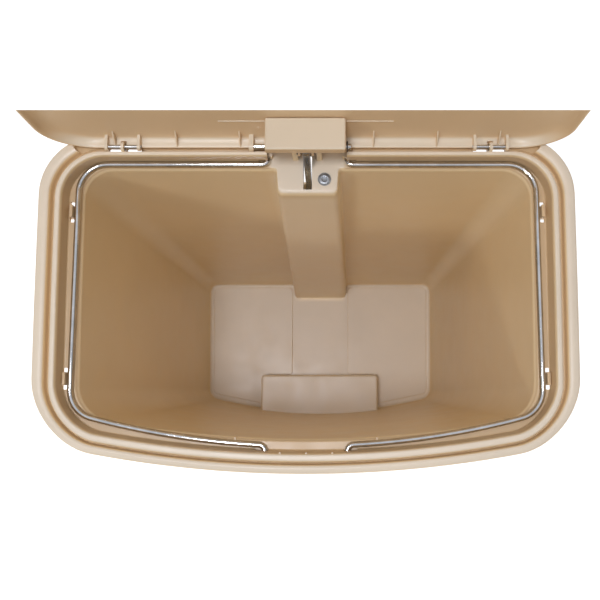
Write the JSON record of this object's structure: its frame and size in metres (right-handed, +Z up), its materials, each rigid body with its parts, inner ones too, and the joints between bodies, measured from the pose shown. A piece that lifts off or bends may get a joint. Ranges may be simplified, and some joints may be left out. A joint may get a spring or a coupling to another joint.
{
  "type": "step-on waste bin",
  "caption": "Tapered rectangular plastic waste bin with a bowed front, a foot pedal that raises its domed lid, and a chrome wire that holds the bag.",
  "frame": {"origin": "on the floor, under the middle of the bin with its lid open", "axes": "+X to the right, +Y towards the lid hinge at the rear, +Z up"},
  "size_m": [0.4998, 0.3303, 0.9251],
  "materials": {
    "body_plastic": "satin moulded beige",
    "lid_plastic": "satin moulded beige",
    "chrome": "bright plated wire",
    "bar_steel": "bright flat bar",
    "steel": "zinc plated",
    "zinc": "dull grey zinc",
    "clip_steel": "phosphated",
    "nylon": "natural",
    "rubber": "matt"
  },
  "bodies": {
    "bin": {"bin_body": "body_plastic", "rear_cover": "body_plastic", "rear_cover_screws": "steel", "bar_guide": "nylon", "guide_bolt": "zinc", "lever_bracket": "steel", "bracket_screws": "steel", "lever_pin": "steel", "lever_pin_clips": "clip_steel", "rubber_feet": "rubber", "wire_clips": "body_plastic"},
    "lid": {"lid_shell": "lid_plastic", "lid_box": "lid_plastic", "lid_box_screws": "steel", "hinge_rod": "chrome", "hinge_rod_clip": "clip_steel", "side_pin_left": "steel", "side_pin_right": "steel", "lift_pin": "steel", "lift_pin_clips": "clip_steel"},
    "bar": {"lift_bar": "bar_steel", "bar_shoe": "nylon"},
    "pedal": {"pedal_lever": "steel", "pedal_pad": "body_plastic", "pedal_tread": "rubber", "pedal_screws": "steel"},
    "wire_left": {"bag_wire_left": "chrome"},
    "wire_right": {"bag_wire_right": "chrome"}
  },
  "joints": [
    {"name": "lid_hinge", "type": "hinge", "parent": "bin", "child": "lid", "pos_m": [0, 0.1351, 0.64], "axis": [1, 0, 0], "range_deg": [0, 93]},
    {"name": "lift_bar_pivot", "type": "hinge", "parent": "lid", "child": "bar", "pos_m": [0, 0.1261, 0.66], "axis": [1, 0, 0], "range_deg": [-92.1, 0]},
    {"name": "pedal_pivot", "type": "hinge", "parent": "bin", "child": "pedal", "pos_m": [0, -0.0224, 0.03027], "axis": [1, 0, 0], "range_deg": [-16.5, 0]},
    {"name": "wire_left_lift", "type": "hinge", "parent": "bin", "child": "wire_left", "pos_m": [-0.0375, 0, 0.6229], "axis": [0, 1, 0], "range_deg": [0, 7]},
    {"name": "wire_right_lift", "type": "hinge", "parent": "bin", "child": "wire_right", "pos_m": [0.0375, 0, 0.6229], "axis": [0, -1, 0], "range_deg": [0, 7]}
  ],
  "couplings": [
    {"joint": "lift_bar_pivot", "follows": "lid_hinge", "ratio": -0.9894},
    {"joint": "pedal_pivot", "follows": "lid_hinge", "ratio": -0.17654}
  ]
}
